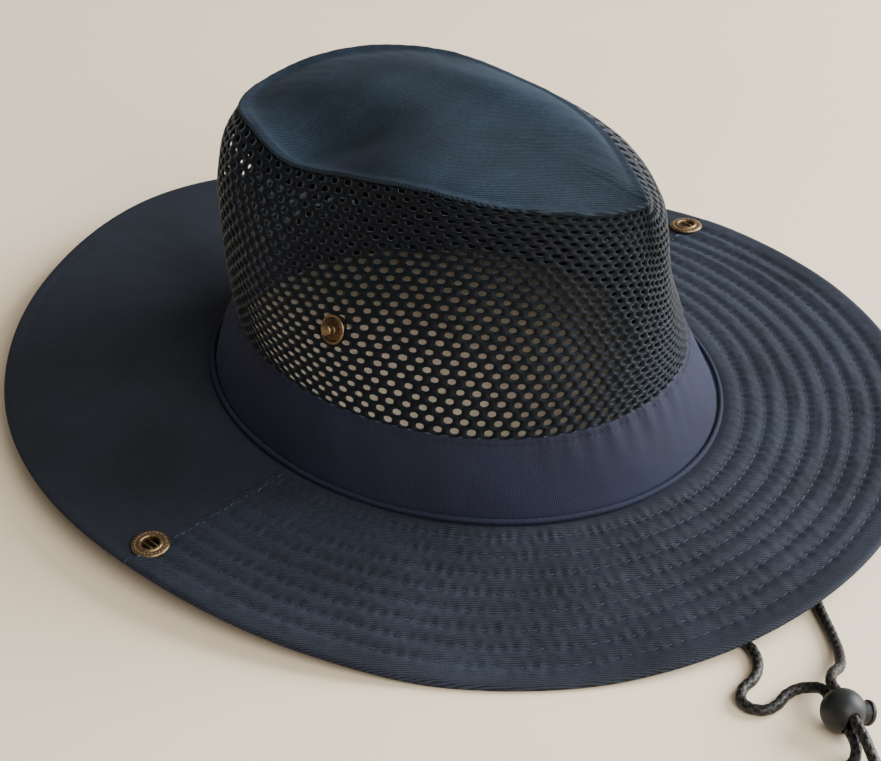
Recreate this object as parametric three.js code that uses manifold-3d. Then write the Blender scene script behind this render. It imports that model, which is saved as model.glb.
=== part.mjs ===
import * as THREE from 'three';
import { mergeVertices } from 'three/addons/utils/BufferGeometryUtils.js';
import Module from 'manifold-3d';

const wasm = await Module();
wasm.setup();

// Sizes are in millimetres. The front of the hat is -Y, the back +Y and +Z is up from the table.
// Angles run in degrees from +X: 90 is the back, 180 the side near the viewer, 270 the front.

const gap = 0.3;

// Where the middle of the head opening stands, so that the brim's outline is centred on the origin
const head = { x: -0.5, y: -3.35 };

const band = {
  foot: { halfWidth: 88, halfLength: 102.7, shift: 0, height: 12 },
  top: { halfWidth: 77, halfLength: 91, shift: -2.6, height: 41 },
  wall: 1.8,
  columns: 48,
  rows: 2,
};

const crown = {
  wall: 1.2,
  topWall: 1.5,
  panelHalfWidth: 47,
  panelHalfLength: 92,
  panelShift: 9,
  panelSquare: 3,
  frontEnd: 0.85,
  backEnd: 0.5,
  farPinch: 0.6,
  pinchPower: 3.2,
  domeHeight: 122.3,
  domePower: 2.2,
  rimFlat: 2.4,
  hollow: { x: -27, y: 34, depth: 8, halfWidth: 15, halfLength: 28 },
  ridge: { x: 31, y: 10, rise: 1.8, halfWidth: 8, halfLength: 38 },
};

// The mesh of the net: rows of long six-sided holes, each row half a pitch along from the next
const mesh = {
  pitches: 20,
  columnsPerPitch: 4,
  holeRows: 5,
  holeShare: 0.105,
  zigzag: 2.1,
  spread: 0.5,
};

const brim = {
  thickness: 2,
  innerReach: 2.1,
  innerFlat: 3,
  sag: 1,
  edgeFlat: 7,
  columns: 30,
  nearSeam: 176.9,
  farSeam: 2.5,
  seamGap: 0.1,
};

const welt = { halfWidth: 0.9, columns: 48 };

const snap = { fromEdge: 12, rim: 6.9, cap: 6.1, shank: 2.3, socket: 3.1, hole: 2.7, sides: 16 };

// A stud stands at each side of the net, turned a little from the middle, where one hole is closed
const stud = {
  turn: 4.5,
  holeRow: 1,
  netShare: 0.37,
  disc: 5.4,
  cap: 5,
  shank: 1.9,
  post: 2.2,
  postHeight: 4.6,
  hole: 2.3,
  sides: 14,
};

const cord = { diameter: 3.8, clearOfTable: 0.05, sides: 8, step: 8 };

// The ball of the cord lock lies on the table with its button turned and tilted down towards it
const lock = {
  x: -57.6,
  y: -215.35,
  radius: 7.3,
  clearOfTable: 0.1,
  turn: -32.6,
  tilt: 19,
  channelHalfWidth: 2.25,
  channelHalfHeight: 4.3,
  strandRise: 2.1,
  bore: 3.9,
  boreFloor: 3.1,
  sides: 20,
  arcs: 8,
};

const button = { shank: 3.6, head: 4.2, travel: 2.4, headFrom: 8.7, end: 10.5 };

// One row for each 22.5 degrees round the hat. brimWidth is from the band to the edge, edgeHeight is
// the underside of the edge above the table, where less than nothing is pressed flat on the table,
// bulge is how far the net stands out halfway up, shoulder how far it stands out just below the top
// panel, and seamHeight is the panel's edge.
const roundTheHat = [
  { angle: 0, brimWidth: 77.2, edgeHeight: 4.0, bulge: 4, shoulder: 9, seamHeight: 115.5 },
  { angle: 22.5, brimWidth: 77.8, edgeHeight: -1.2, bulge: 4.5, shoulder: 9, seamHeight: 114.5 },
  { angle: 45, brimWidth: 79.3, edgeHeight: -1.5, bulge: 5.5, shoulder: 7, seamHeight: 111 },
  { angle: 67.5, brimWidth: 81.2, edgeHeight: 7.5, bulge: 7, shoulder: 4, seamHeight: 106.5 },
  { angle: 90, brimWidth: 82.8, edgeHeight: 14.4, bulge: 8, shoulder: 3, seamHeight: 102.5 },
  { angle: 112.5, brimWidth: 83, edgeHeight: 11, bulge: 7, shoulder: 3, seamHeight: 103.5 },
  { angle: 135, brimWidth: 81.5, edgeHeight: 7.9, bulge: 7, shoulder: 3, seamHeight: 107.5 },
  { angle: 157.5, brimWidth: 78.9, edgeHeight: 9.3, bulge: 7, shoulder: 1, seamHeight: 104.5 },
  { angle: 180, brimWidth: 76, edgeHeight: 9.6, bulge: 6, shoulder: 0, seamHeight: 112 },
  { angle: 202.5, brimWidth: 74.1, edgeHeight: 4.4, bulge: 4, shoulder: 0, seamHeight: 119 },
  { angle: 225, brimWidth: 73.7, edgeHeight: -1.4, bulge: 3, shoulder: 0, seamHeight: 118 },
  { angle: 247.5, brimWidth: 74.6, edgeHeight: 2.4, bulge: 2.2, shoulder: 0, seamHeight: 115.3 },
  { angle: 270, brimWidth: 76.1, edgeHeight: 8.6, bulge: 2, shoulder: 0, seamHeight: 116.6 },
  { angle: 292.5, brimWidth: 76, edgeHeight: 11.6, bulge: 1.8, shoulder: 5, seamHeight: 117.5 },
  { angle: 315, brimWidth: 76, edgeHeight: 10.2, bulge: 1.5, shoulder: 7.5, seamHeight: 117 },
  { angle: 337.5, brimWidth: 77, edgeHeight: 7.1, bulge: 2.5, shoulder: 9, seamHeight: 116 },
];

// The far side comes first
const snapAngles = [brim.farSeam, brim.nearSeam];
const studAngles = [stud.turn, 180 + stud.turn];

const finishes = {
  topTwill: { color: 0x2b3644, roughness: 0.85, metalness: 0 },
  bandTwill: { color: 0x2a2d40, roughness: 0.8, metalness: 0 },
  brimTwill: { color: 0x272a38, roughness: 0.85, metalness: 0 },
  net: { color: 0x10161c, roughness: 0.7, metalness: 0 },
  cord: { color: 0x0d0e10, roughness: 0.6, metalness: 0 },
  lockPlastic: { color: 0x262826, roughness: 0.35, metalness: 0 },
  brass: { color: 0x6b5230, roughness: 0.45, metalness: 1 },
};

const radians = THREE.MathUtils.degToRad;

// A column of the table at any angle, joined by smooth curves through its rows
function tableAt(column, angle) {
  const rows = roundTheHat.length;
  const step = 360 / rows;
  const place = (((angle % 360) + 360) % 360) / step;
  const first = Math.floor(place);
  const t = place - first;
  const value = (k) => roundTheHat[(first + k + rows) % rows][column];
  const before = value(-1);
  const start = value(0);
  const end = value(1);
  const after = value(2);
  const straight = 2 * start + (end - before) * t;
  const square = (2 * before - 5 * start + 4 * end - after) * t * t;
  const cube = (3 * start - before - 3 * end + after) * t * t * t;
  return (straight + square + cube) / 2;
}

// A point on an oval of the head, moved out along the oval's normal
function onOval(oval, angle, outward) {
  const c = Math.cos(radians(angle));
  const s = Math.sin(radians(angle));
  const normal = new THREE.Vector2(oval.halfLength * c, oval.halfWidth * s).normalize();
  return new THREE.Vector2(
    head.x + oval.shift + oval.halfWidth * c + outward * normal.x,
    head.y + oval.halfLength * s + outward * normal.y,
  );
}

// The outline of the top panel: a leaf, round at the back, whose far side draws in to the front
function onPanelEdge(angle, share) {
  const c = Math.cos(radians(angle));
  const s = Math.sin(radians(angle));
  const end = s > 0 ? crown.backEnd : crown.frontEnd;
  const pinch = c > 0 ? crown.farPinch * ((1 - s) / 2) ** crown.pinchPower : 0;
  const across = (1 - pinch) * Math.max(0, 1 - Math.abs(s) ** crown.panelSquare) ** end;
  return new THREE.Vector2(
    head.x + share * crown.panelHalfWidth * Math.sign(c) * across,
    head.y + crown.panelShift + share * crown.panelHalfLength * s,
  );
}

// The brim's underside: level where it meets the band, then a straight fall with a slight sag
function brimUnderside(angle, outward) {
  const width = tableAt('brimWidth', angle);
  const start = band.foot.height - brim.thickness;
  const share = Math.max(0, (outward - brim.innerFlat) / (width - brim.innerFlat));
  const fall = (tableAt('edgeHeight', angle) - start) * share;
  const height = start + fall - brim.sag * Math.sin(Math.PI * Math.min(1, share));
  return Math.max(0, height);
}

// A point of the net wall: share is 0 at the band and 1 at the top panel, depth is into the wall
function onNet(angle, share, depth) {
  const low = onOval(band.top, angle, 0);
  const high = onPanelEdge(angle, 1);
  const lowHeight = band.top.height + gap / 2;
  const highHeight = tableAt('seamHeight', angle) - gap;
  const plan = low.clone().lerp(high, share);
  const outward = onOval(band.top, angle, 1).sub(low);
  const bulge = tableAt('bulge', angle) * Math.sin(Math.PI * share);
  const shoulder = tableAt('shoulder', angle) * Math.sin(Math.PI * share ** 4);
  plan.addScaledVector(outward, bulge + shoulder - depth);
  return new THREE.Vector3(plan.x, plan.y, lowHeight + (highHeight - lowHeight) * share);
}

function hump(shape, x, y) {
  const across = (x - shape.x) / shape.halfWidth;
  const along = (y - shape.y) / shape.halfLength;
  return Math.exp(-across * across - along * along);
}

// The underside of the top panel: share is 0 at its middle and 1 at its edge, which lies level
function onPanel(angle, share, lift) {
  const plan = onPanelEdge(angle, share);
  const edge = tableAt('seamHeight', angle);
  const flatFrom = 1 - crown.rimFlat / crown.panelHalfWidth;
  const inward = Math.min(1, share / flatFrom);
  const local = new THREE.Vector2(plan.x - head.x, plan.y - head.y);
  const across = local.x / crown.panelHalfWidth;
  const along = (local.y - crown.panelShift) / crown.panelHalfLength;
  const away = Math.min(1, Math.hypot(across, along));
  const dome = (crown.domeHeight - crown.topWall - edge) * (1 - away ** crown.domePower);
  const fade = 1 - inward ** 6;
  const dent = crown.hollow.depth * hump(crown.hollow, local.x, local.y);
  const rise = crown.ridge.rise * hump(crown.ridge, local.x, local.y);
  return new THREE.Vector3(plan.x, plan.y, edge + (dome + rise - dent) * fade + lift);
}

// A closed shell between two skins on one grid of points, with walls round its edges and round
// each cell that is left open. The skins are functions of row and column.
function shell({ rows, columns, ring, outer, inner, open = () => false }) {
  const positions = [];
  const cell = (i, j) => {
    if (j < 0 || j >= rows) return false;
    if (!ring && (i < 0 || i >= columns)) return false;
    return !open((i + columns) % columns, j);
  };
  const at = (skin, i, j) => skin(ring ? (i + columns) % columns : i, j);
  const triangle = (a, b, c) => {
    const flat = a.distanceTo(b) < 1e-3 || b.distanceTo(c) < 1e-3 || c.distanceTo(a) < 1e-3;
    if (!flat) positions.push(...a.toArray(), ...b.toArray(), ...c.toArray());
  };
  const quad = (a, b, c, d) => {
    triangle(a, b, c);
    triangle(a, c, d);
  };
  const wall = (i1, j1, i2, j2) => {
    const [a, b] = [at(outer, i1, j1), at(outer, i2, j2)];
    const [c, d] = [at(inner, i2, j2), at(inner, i1, j1)];
    quad(b, a, d, c);
  };
  for (let j = 0; j < rows; j += 1) {
    for (let i = 0; i < columns; i += 1) {
      if (!cell(i, j)) continue;
      quad(at(outer, i, j), at(outer, i + 1, j), at(outer, i + 1, j + 1), at(outer, i, j + 1));
      quad(at(inner, i, j), at(inner, i, j + 1), at(inner, i + 1, j + 1), at(inner, i + 1, j));
      if (!cell(i, j - 1)) wall(i, j, i + 1, j);
      if (!cell(i + 1, j)) wall(i + 1, j, i + 1, j + 1);
      if (!cell(i, j + 1)) wall(i + 1, j + 1, i, j + 1);
      if (!cell(i - 1, j)) wall(i, j + 1, i, j);
    }
  }
  const geometry = new THREE.BufferGeometry();
  geometry.setAttribute('position', new THREE.Float32BufferAttribute(positions, 3));
  return geometry;
}

function solidOf(geometry) {
  const bare = geometry.clone();
  bare.deleteAttribute('normal');
  bare.deleteAttribute('uv');
  const joined = mergeVertices(bare, 1e-4);
  return new wasm.Manifold(new wasm.Mesh({
    numProp: 3,
    vertProperties: new Float32Array(joined.attributes.position.array),
    triVerts: new Uint32Array(joined.index.array),
  }));
}

function cut(geometry, ...cutters) {
  let solid = solidOf(geometry);
  for (const cutter of cutters) solid = solid.subtract(solidOf(cutter));
  const result = solid.getMesh();
  const made = new THREE.BufferGeometry();
  made.setAttribute('position', new THREE.BufferAttribute(new Float32Array(result.vertProperties), 3));
  made.setIndex(new THREE.BufferAttribute(new Uint32Array(result.triVerts), 1));
  return made;
}

// A matrix that stands a shape made round the Z axis along a direction at a place
function standing(place, direction, sideways) {
  const up = direction.clone().normalize();
  const across = sideways.clone().addScaledVector(up, -sideways.dot(up)).normalize();
  const third = up.clone().cross(across);
  return new THREE.Matrix4().makeBasis(across, third, up).setPosition(place);
}

function turned(profile, sides) {
  const points = profile.map(([radius, height]) => new THREE.Vector2(radius, height));
  return new THREE.LatheGeometry(points, sides).rotateX(Math.PI / 2);
}

function drill(radius, standingAt) {
  const reach = 6;
  const profile = [[0, -reach], [radius, -reach], [radius, reach], [0, reach]];
  return turned(profile, 12).applyMatrix4(standingAt);
}

// The panel's underside comes first because rows that run outward face downward
function crownTop() {
  const columns = (mesh.pitches * mesh.columnsPerPitch) / 2;
  const flatFrom = 1 - crown.rimFlat / crown.panelHalfWidth;
  const shares = [0, 0.3, 0.55, 0.76, 0.88, flatFrom, 1];
  const angle = (i) => (360 * i) / columns;
  return shell({
    rows: shares.length - 1,
    columns,
    ring: true,
    outer: (i, j) => onPanel(angle(i), shares[j], 0),
    inner: (i, j) => onPanel(angle(i), shares[j], crown.topWall),
  });
}

function studPlace(angle) {
  const share = stud.netShare;
  const place = onNet(angle, share, 0);
  const along = onNet(angle + 2, share, 0).sub(onNet(angle - 2, share, 0));
  const upward = onNet(angle, share + 0.06, 0).sub(onNet(angle, share - 0.06, 0));
  return standing(place, along.clone().cross(upward), along);
}

function crownNet() {
  const columns = mesh.pitches * mesh.columnsPerPitch;
  const rows = 2 * mesh.holeRows + 1;
  const solidShare = (1 - mesh.holeRows * mesh.holeShare) / (mesh.holeRows + 1);
  const studColumn = (columns * stud.turn) / 360;
  const fromHole = (i, holeRow) => {
    const start = (holeRow - stud.holeRow) % 2 === 0 ? 0 : mesh.columnsPerPitch / 2;
    const away = (i - studColumn - start + columns) % mesh.columnsPerPitch;
    return away > mesh.columnsPerPitch / 2 ? away - mesh.columnsPerPitch : away;
  };
  const point = (i, j, depth) => {
    let share = Math.ceil(j / 2) * solidShare + Math.floor(j / 2) * mesh.holeShare;
    let column = i;
    if (j > 0 && j < rows) {
      const below = j % 2 === 1;
      const away = fromHole(i, Math.floor((j - 1) / 2));
      const height = tableAt('seamHeight', (360 * i) / columns) - band.top.height;
      const wave = (mesh.zigzag * Math.cos((Math.PI * away) / 2)) / height;
      share += below ? -wave : wave;
      if (Math.abs(away) === 1) column += away * mesh.spread;
    }
    return onNet((360 * column) / columns, share, depth);
  };
  const open = (i, j) => {
    if (j % 2 === 0) return false;
    const holeRow = (j - 1) / 2;
    const away = fromHole(i, holeRow);
    const hole = (i - away + columns) % columns;
    const atStud = holeRow === stud.holeRow && (hole - studColumn) % (columns / 2) === 0;
    return (away === 0 || away === -1) && !atStud;
  };
  const net = shell({
    rows,
    columns,
    ring: true,
    outer: (i, j) => point(i, j, 0),
    inner: (i, j) => point(i, j, crown.wall),
    open,
  });
  return cut(net, ...studAngles.map((angle) => drill(stud.hole, studPlace(angle))));
}

function crownBand() {
  const { foot, top } = band;
  const point = (i, j, depth) => {
    const between = (a, b) => a + ((b - a) * j) / band.rows;
    const oval = {
      halfWidth: between(foot.halfWidth, top.halfWidth),
      halfLength: between(foot.halfLength, top.halfLength),
      shift: between(foot.shift, top.shift),
    };
    const plan = onOval(oval, (360 * i) / band.columns, -depth);
    return new THREE.Vector3(plan.x, plan.y, between(foot.height + gap, top.height - gap / 2));
  };
  return shell({
    rows: band.rows,
    columns: band.columns,
    ring: true,
    outer: (i, j) => point(i, j, 0),
    inner: (i, j) => point(i, j, band.wall),
  });
}

// A bead of six sides in the corner between the brim and the band
function bandWelt() {
  const outerSide = [[0, -1], [0.85, -0.5], [0.85, 0.5], [0, 1]];
  const innerSide = [[0, -1], [-0.75, -0.5], [-0.95, 0.4], [0, 1]];
  const middle = welt.halfWidth + gap;
  const point = (i, [out, up]) => {
    const plan = onOval(band.foot, (360 * i) / welt.columns, middle + out * welt.halfWidth);
    return new THREE.Vector3(plan.x, plan.y, band.foot.height + middle + up * welt.halfWidth);
  };
  return shell({
    rows: outerSide.length - 1,
    columns: welt.columns,
    ring: true,
    outer: (i, j) => point(i, outerSide[j]),
    inner: (i, j) => point(i, innerSide[j]),
  });
}

function onBrim(angle, outward, lift) {
  const plan = onOval(band.foot, angle, outward);
  return new THREE.Vector3(plan.x, plan.y, brimUnderside(angle, outward) + lift);
}

// A snap stands on the seam between the brim's halves, square to the brim's top
function snapPlace(angle) {
  const outward = tableAt('brimWidth', angle) - snap.fromEdge;
  const place = onBrim(angle, outward, brim.thickness);
  const along = onBrim(angle + 3, outward, 0).sub(onBrim(angle - 3, outward, 0));
  const out = onBrim(angle, outward + 4, 0).sub(onBrim(angle, outward - 4, 0));
  return standing(place, out.clone().cross(along), out);
}

// Half of the brim between two angles. Its underside comes first because its rows run outward.
function brimHalf(from, to) {
  const start = from + brim.seamGap;
  const turn = to - from - 2 * brim.seamGap;
  const angle = (i) => start + (turn * i) / brim.columns;
  const outward = (i, j) => {
    const width = tableAt('brimWidth', angle(i));
    const shares = [0.25, 0.5, 0.75].map((share) => share * width);
    return [-brim.innerReach, brim.innerFlat, ...shares, width - brim.edgeFlat, width][j];
  };
  const half = shell({
    rows: 6,
    columns: brim.columns,
    ring: false,
    outer: (i, j) => onBrim(angle(i), outward(i, j), 0),
    inner: (i, j) => onBrim(angle(i), outward(i, j), brim.thickness),
  });
  return cut(half, ...snapAngles.map((at) => drill(snap.hole, snapPlace(at))));
}

// A brass ring and socket on top of the brim, its shank through the cloth and its cap below
function brimSnap() {
  const under = -brim.thickness - gap;
  return turned([
    [0, under - 1.6],
    [0.6 * snap.cap, under - 1.4],
    [0.92 * snap.cap, under - 0.8],
    [snap.cap, under],
    [snap.shank, under],
    [snap.shank, gap],
    [snap.rim, gap],
    [snap.rim, gap + 0.8],
    [0.88 * snap.rim, gap + 1.4],
    [snap.socket + 0.5, gap + 1.5],
    [snap.socket, gap + 1.1],
    [snap.socket, gap + 0.3],
    [0, gap + 0.3],
  ], snap.sides);
}

// A brass stud outside the net, its shank through the net and its cap inside the crown
function crownStud() {
  const within = -crown.wall - 0.5;
  return turned([
    [0, within - 1.1],
    [0.8 * stud.cap, within - 1],
    [stud.cap, within - 0.5],
    [stud.cap, within],
    [stud.shank, within],
    [stud.shank, gap],
    [stud.disc, gap],
    [0.97 * stud.disc, gap + 0.7],
    [0.6 * stud.disc, gap + 1.1],
    [0.8 * stud.post, gap + 1.3],
    [0.8 * stud.post, 0.6 * stud.postHeight],
    [stud.post, 0.8 * stud.postHeight],
    [0.85 * stud.post, 0.97 * stud.postHeight],
    [0, stud.postHeight],
  ], stud.sides);
}

// The lock's own directions: along its button, along its channel, and up across the two strands
const lockPlace = new THREE.Vector3(lock.x, lock.y, lock.radius + lock.clearOfTable);
const buttonWay = new THREE.Vector3(1, 0, 0)
  .applyAxisAngle(new THREE.Vector3(0, 1, 0), radians(lock.tilt))
  .applyAxisAngle(new THREE.Vector3(0, 0, 1), radians(lock.turn));
const channelWay = new THREE.Vector3(0, -1, 0)
  .applyAxisAngle(new THREE.Vector3(0, 0, 1), radians(lock.turn));
const strandWay = channelWay.clone().cross(buttonWay);

function inLock(along, level) {
  return lockPlace.clone()
    .addScaledVector(channelWay, along)
    .addScaledVector(strandWay, level * lock.strandRise);
}

// The ball is turned round its button, with a blind bore for it, and the channel runs across
function lockBall() {
  const { radius, bore, boreFloor, channelHalfWidth, channelHalfHeight } = lock;
  const last = Math.acos(bore / radius);
  const profile = [];
  for (let k = 0; k <= lock.arcs; k += 1) {
    const at = -Math.PI / 2 + ((last + Math.PI / 2) * k) / lock.arcs;
    profile.push([k === 0 ? 0 : radius * Math.cos(at), radius * Math.sin(at)]);
  }
  profile.push([bore, boreFloor], [0, boreFloor]);
  const ball = turned(profile, lock.sides).rotateY(Math.PI / 2);
  const straight = channelHalfHeight - channelHalfWidth;
  const outline = new THREE.Shape();
  outline.absarc(0, straight, channelHalfWidth, 0, Math.PI, false);
  outline.absarc(0, -straight, channelHalfWidth, Math.PI, 2 * Math.PI, false);
  const channel = new THREE.ExtrudeGeometry(outline, {
    depth: 4 * radius,
    bevelEnabled: false,
    curveSegments: 6,
  }).translate(0, 0, -2 * radius);
  return cut(ball, channel);
}

function lockButton() {
  const { shank, travel, headFrom, end } = button;
  return turned([
    [0, lock.boreFloor + travel + gap],
    [shank, lock.boreFloor + travel + gap],
    [shank, headFrom],
    [button.head, headFrom],
    [button.head, end - 0.8],
    [0.9 * button.head, end - 0.2],
    [0.7 * button.head, end],
    [0, end],
  ], lock.sides).rotateY(Math.PI / 2);
}

// Route points of the chin cord: x, y and how far the cord is lifted off the table there
const nearRoute = [
  [-89, -9, 7.5], [-88.95, -9.4, 5], [-88.2, -12, 2.2], [-86.8, -17, 0.5], [-84.5, -26, 0],
  [-78, -52, 0], [-70, -80, 0], [-62, -110, 0], [-54.5, -140, 0], [-48.5, -162, 0],
  [-47, -171.5, 0], [-49.8, -177, 0], [-54.5, -181, 0], [-60, -182.8, 0], [-65.5, -182.9, 0],
  [-70.2, -185.6, 0], [-71.2, -190, 0], [-68.7, -194, 0], [-64, -195.4, 0],
  [-58.5, -194.9, 0], [-53.5, -196.4, 0.3], [-50.9, -200, 1.3], [-51, -203, 2.7],
];
const farRoute = [
  [88.4, -9, 7.5], [88.3, -9.4, 5], [87.2, -12.4, 2.2], [85, -17.5, 0.5], [81, -27, 0],
  [70, -52, 0], [56, -80, 0], [40, -108, 0], [22, -136, 0], [4, -158, 0], [-9, -171.5, 0],
  [-16.5, -180, 0], [-24, -189.5, 0], [-30.5, -196.5, 0.6], [-38, -201.6, 2.8],
  [-46.2, -203.6, 6.2],
];
const tailRoute = [
  [-64.8, -225.2, 2.3], [-68.8, -227.6, 0.8], [-73.5, -227.6, 0.1], [-78, -225.6, 0],
  [-84, -223.4, 0], [-91, -224.8, 0], [-97, -230, 0], [-99.5, -237.5, 0], [-96.5, -245, 0],
  [-89.5, -249.5, 0], [-81.5, -249, 0], [-74.5, -244.6, 0], [-69.5, -238.4, 0.5],
  [-66.6, -232.6, 3], [-64.3, -228, 6],
];

const lying = cord.diameter / 2 + cord.clearOfTable;
const routePoint = ([x, y, lift]) => new THREE.Vector3(x, y, lying + lift);

// A strand keeps straight in the lock's channel, from this far outside to its middle
const channelStops = [11.3, 7.5, 3.5, gap / 2];
const intoLock = (level) => channelStops.map((along) => inLock(-along, level));
const outOfLock = (level) => channelStops.slice(1).reverse().map((along) => inLock(along, level));

function cordTube(points) {
  const path = new THREE.CatmullRomCurve3(points, false, 'centripetal');
  const section = new THREE.Shape();
  for (let k = 0; k < cord.sides; k += 1) {
    const at = (2 * Math.PI * k) / cord.sides;
    const corner = [(cord.diameter / 2) * Math.cos(at), (cord.diameter / 2) * Math.sin(at)];
    if (k === 0) section.moveTo(...corner);
    else section.lineTo(...corner);
  }
  section.closePath();
  const steps = Math.ceil(path.getLength() / cord.step);
  return new THREE.ExtrudeGeometry(section, { steps, extrudePath: path, bevelEnabled: false });
}

const hat = new THREE.Group();

function add(parent, name, geometry, finish, matrix) {
  const part = new THREE.Mesh(geometry, new THREE.MeshStandardMaterial(finishes[finish]));
  part.name = name;
  if (matrix) part.applyMatrix4(matrix);
  parent.add(part);
}

add(hat, 'crown_top', crownTop(), 'topTwill');
add(hat, 'crown_net', crownNet(), 'net');
add(hat, 'crown_band', crownBand(), 'bandTwill');
add(hat, 'band_welt', bandWelt(), 'bandTwill');
add(hat, 'brim_back', brimHalf(brim.farSeam, brim.nearSeam), 'brimTwill');
add(hat, 'brim_front', brimHalf(brim.nearSeam, brim.farSeam + 360), 'brimTwill');
['far', 'near'].forEach((side, k) => {
  add(hat, `brim_snap_${side}`, brimSnap(), 'brass', snapPlace(snapAngles[k]));
  add(hat, `crown_stud_${side}`, crownStud(), 'brass', studPlace(studAngles[k]));
});

const low = -1;
const high = 1;
add(hat, 'cord_near', cordTube([...nearRoute.map(routePoint), ...intoLock(low)]), 'cord');
add(hat, 'cord_far', cordTube([...farRoute.map(routePoint), ...intoLock(high)]), 'cord');
const tail = [...outOfLock(low), ...tailRoute.map(routePoint), ...outOfLock(high).reverse()];
add(hat, 'cord_tail', cordTube(tail), 'cord');

const cordLock = new THREE.Group();
cordLock.applyMatrix4(standing(lockPlace, channelWay, buttonWay));
add(cordLock, 'cord_lock', lockBall(), 'lockPlastic');
add(cordLock, 'cord_lock_button', lockButton(), 'lockPlastic');
hat.add(cordLock);

export default hat;
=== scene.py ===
import math

import bmesh
import bpy
import numpy as np
from mathutils import Matrix


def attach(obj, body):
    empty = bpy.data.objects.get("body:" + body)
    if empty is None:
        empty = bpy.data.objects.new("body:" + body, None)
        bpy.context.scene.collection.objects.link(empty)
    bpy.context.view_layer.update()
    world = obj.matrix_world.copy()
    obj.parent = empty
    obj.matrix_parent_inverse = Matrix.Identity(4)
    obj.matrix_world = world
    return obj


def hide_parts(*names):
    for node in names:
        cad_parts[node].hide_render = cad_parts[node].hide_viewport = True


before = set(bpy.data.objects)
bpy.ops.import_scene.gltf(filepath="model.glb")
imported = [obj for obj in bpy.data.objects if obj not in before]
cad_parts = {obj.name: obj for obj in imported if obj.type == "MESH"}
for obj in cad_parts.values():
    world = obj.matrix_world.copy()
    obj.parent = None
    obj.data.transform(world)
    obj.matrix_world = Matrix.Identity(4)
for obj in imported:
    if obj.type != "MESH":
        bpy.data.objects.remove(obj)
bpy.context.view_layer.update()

# Lengths are in millimetres and are turned into metres when a mesh is made.
# The front of the hat is -Y, the back +Y. Angles run from +X: 90 is the back, 180 the near side.
mm = 0.001
chance = np.random.default_rng(7)

hat = {
    "middle": (-0.5, -3.35),
    "foot": {"halfWidth": 88.0, "halfLength": 102.7, "shift": 0.0, "height": 12.0},
    "bandTop": {"halfWidth": 77.0, "halfLength": 91.0, "shift": -2.6, "height": 41.0},
}

# One value for each 22.5 degrees round the hat: the brim's width, how high the underside of its edge
# is above the table (at 0 or less it lies on the table), how far the net bulges halfway up, how far its
# shoulder stands out below the top panel, and how high the panel's seam is
roundTheHat = {
    "brimWidth": [77.2, 77.8, 79.3, 81.2, 82.8, 83, 81.5, 78.9, 76, 74.1, 73.7, 74.6, 76.1, 76, 76, 77],
    "edgeHeight": [4, -1.2, -1.5, 7.5, 14.4, 11, 7.9, 9.3, 9.6, 4.4, -1.4, 2.4, 8.6, 11.6, 10.2, 7.1],
    "bulge": [4, 4.5, 5.5, 7, 8, 7, 7, 7, 6, 4, 3, 2.2, 2, 1.8, 1.5, 2.5],
    "shoulder": [9, 9, 7, 4, 3, 3, 3, 1, 0, 0, 0, 0, 0, 5, 7.5, 9],
    "seamHeight": [115.5, 114.5, 111, 106.5, 102.5, 103.5, 107.5, 104.5,
                   112, 119, 118, 115.3, 116.6, 117.5, 117, 116],
}


def tableAt(column, angle):
    # a smooth curve through the column's values, which closes on itself
    values = np.array(roundTheHat[column], float)
    place = np.mod(angle, 360.0) / (360.0 / len(values))
    first = np.floor(place).astype(int)
    t = place - first
    before, start, end, after = (values[(first + k) % len(values)] for k in (-1, 0, 1, 2))
    square = (2 * before - 5 * start + 4 * end - after) * t**2
    cube = (3 * start - before - 3 * end + after) * t**3
    return (2 * start + (end - before) * t + square + cube) / 2


def onOval(oval, angle, outward):
    # a point of the ellipse, moved out along its normal
    c, s = np.cos(np.radians(angle)), np.sin(np.radians(angle))
    nx, ny = oval["halfLength"] * c, oval["halfWidth"] * s
    size = np.hypot(nx, ny)
    x = hat["middle"][0] + oval["shift"] + oval["halfWidth"] * c + outward * nx / size
    y = hat["middle"][1] + oval["halfLength"] * s + outward * ny / size
    return x, y


def stack(x, y, z):
    return np.stack(np.broadcast_arrays(x, y, z), axis=-1).astype(float)


def unit(vectors):
    return vectors / np.maximum(np.linalg.norm(vectors, axis=-1, keepdims=True), 1e-12)


def soft(x, y, seed, size):
    # smooth random waves between -1 and 1: five sines with seeded directions
    draw = np.random.default_rng(seed)
    total = np.zeros(np.broadcast(x, y).shape)
    for _ in range(5):
        way, phase, stretch = draw.uniform(0, 2 * math.pi, 2).tolist() + [draw.uniform(0.7, 1.5)]
        total += np.sin((x * math.cos(way) + y * math.sin(way)) * 2 * math.pi * stretch / size + phase)
    return total / 5


# Making meshes

def makePiece(name, points, faces, uv, finish, slotName, body="hat", nodes=()):
    # points in millimetres; uv holds one pair for each corner of each face, in metres
    mesh = bpy.data.meshes.new(name)
    mesh.from_pydata(np.asarray(points).reshape(-1, 3) * mm, [], faces)
    if uv is not None:
        mesh.uv_layers.new(name="UVMap").data.foreach_set("uv", np.asarray(uv, np.float32).ravel())
    mesh.polygons.foreach_set("use_smooth", np.ones(len(mesh.polygons), bool))
    mesh.materials.append(finish)
    mesh.update()
    piece = bpy.data.objects.new(name, mesh)
    bpy.context.collection.objects.link(piece)
    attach(piece, body)
    if nodes:
        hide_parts(*nodes)
    print("made", name, len(mesh.polygons), "faces")
    return piece


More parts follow.
